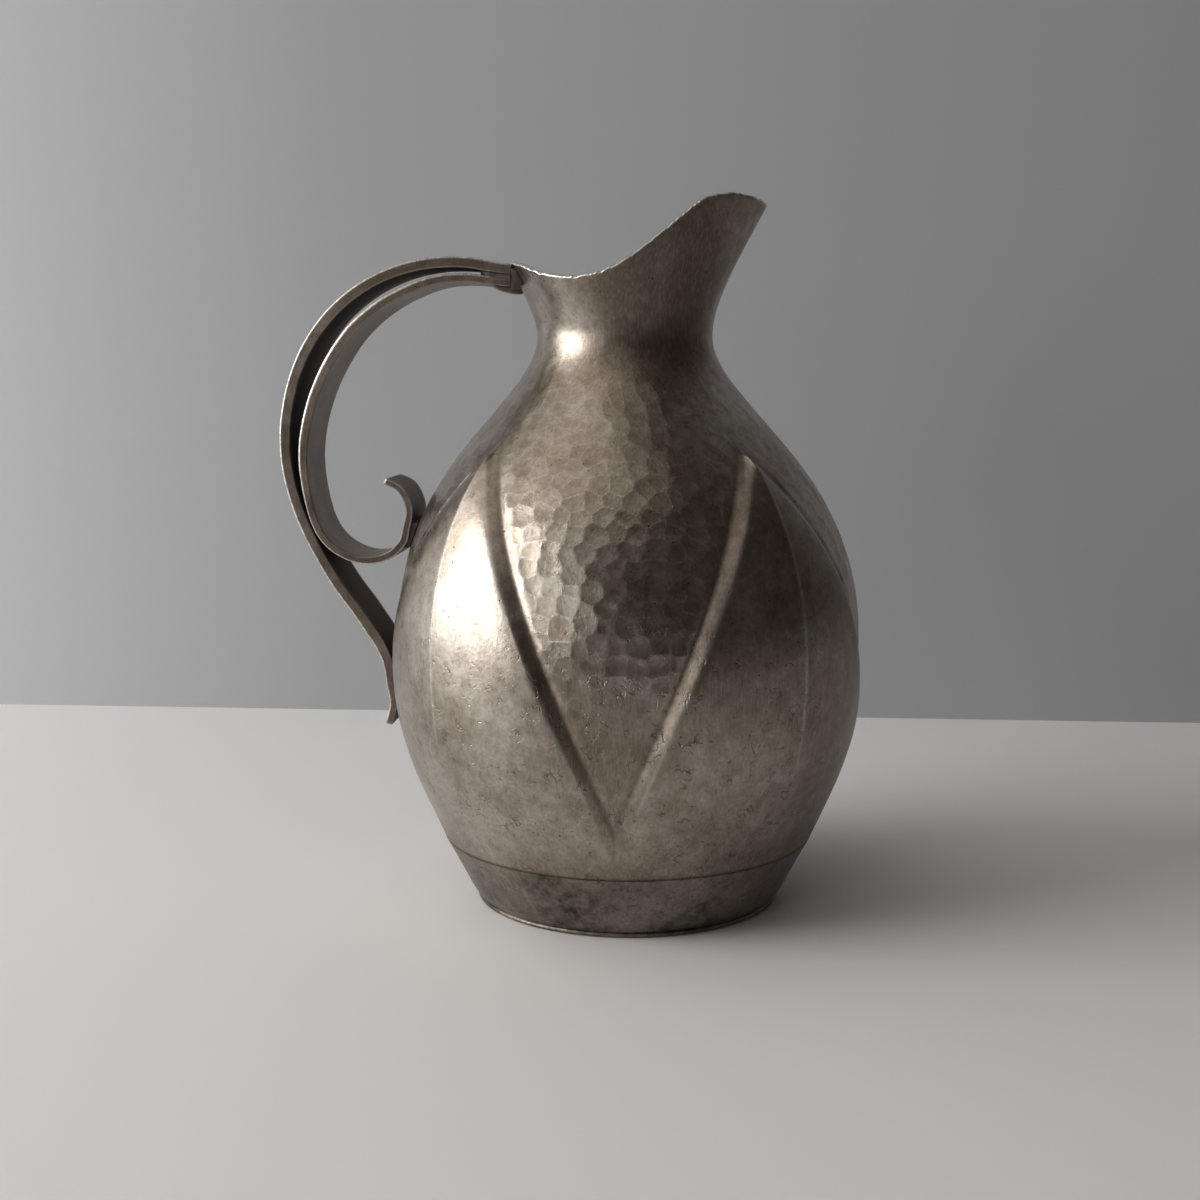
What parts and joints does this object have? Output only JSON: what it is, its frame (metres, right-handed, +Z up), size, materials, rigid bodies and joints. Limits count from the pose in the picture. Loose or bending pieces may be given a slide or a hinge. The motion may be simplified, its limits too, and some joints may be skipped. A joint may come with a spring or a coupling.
{
  "type": "jug",
  "caption": "Hammered pewter pouring jug with a round petalled belly, a narrow neck, an upswept spout and a handle of two straps, the inner one ending in a scroll.",
  "frame": {"origin": "centre of the base plate's underside, on the surface that the jug stands on", "axes": "+Z up, +X towards the pouring spout, -X towards the handle, so the jug is a mirror image of itself across the XZ plane"},
  "size_m": [0.1733, 0.1396, 0.2099],
  "materials": {
    "hammered_pewter": "hammered, dark patina with bright worn ridges",
    "foot_pewter": "planished, dark mottled patina",
    "strap_pewter": "hammered strip, brown patina with bright edges",
    "solder": "dull, rough, dark"
  },
  "bodies": {
    "root": {"body_shell": "hammered_pewter", "foot_band": "foot_pewter", "base_plate": "foot_pewter", "outer_strap": "strap_pewter", "inner_strap": "strap_pewter", "rim_solder": "solder", "strap_solder": "solder", "scroll_solder": "solder", "tail_solder": "solder", "foot_solder": "solder", "base_solder": "solder"}
  },
  "joints": []
}
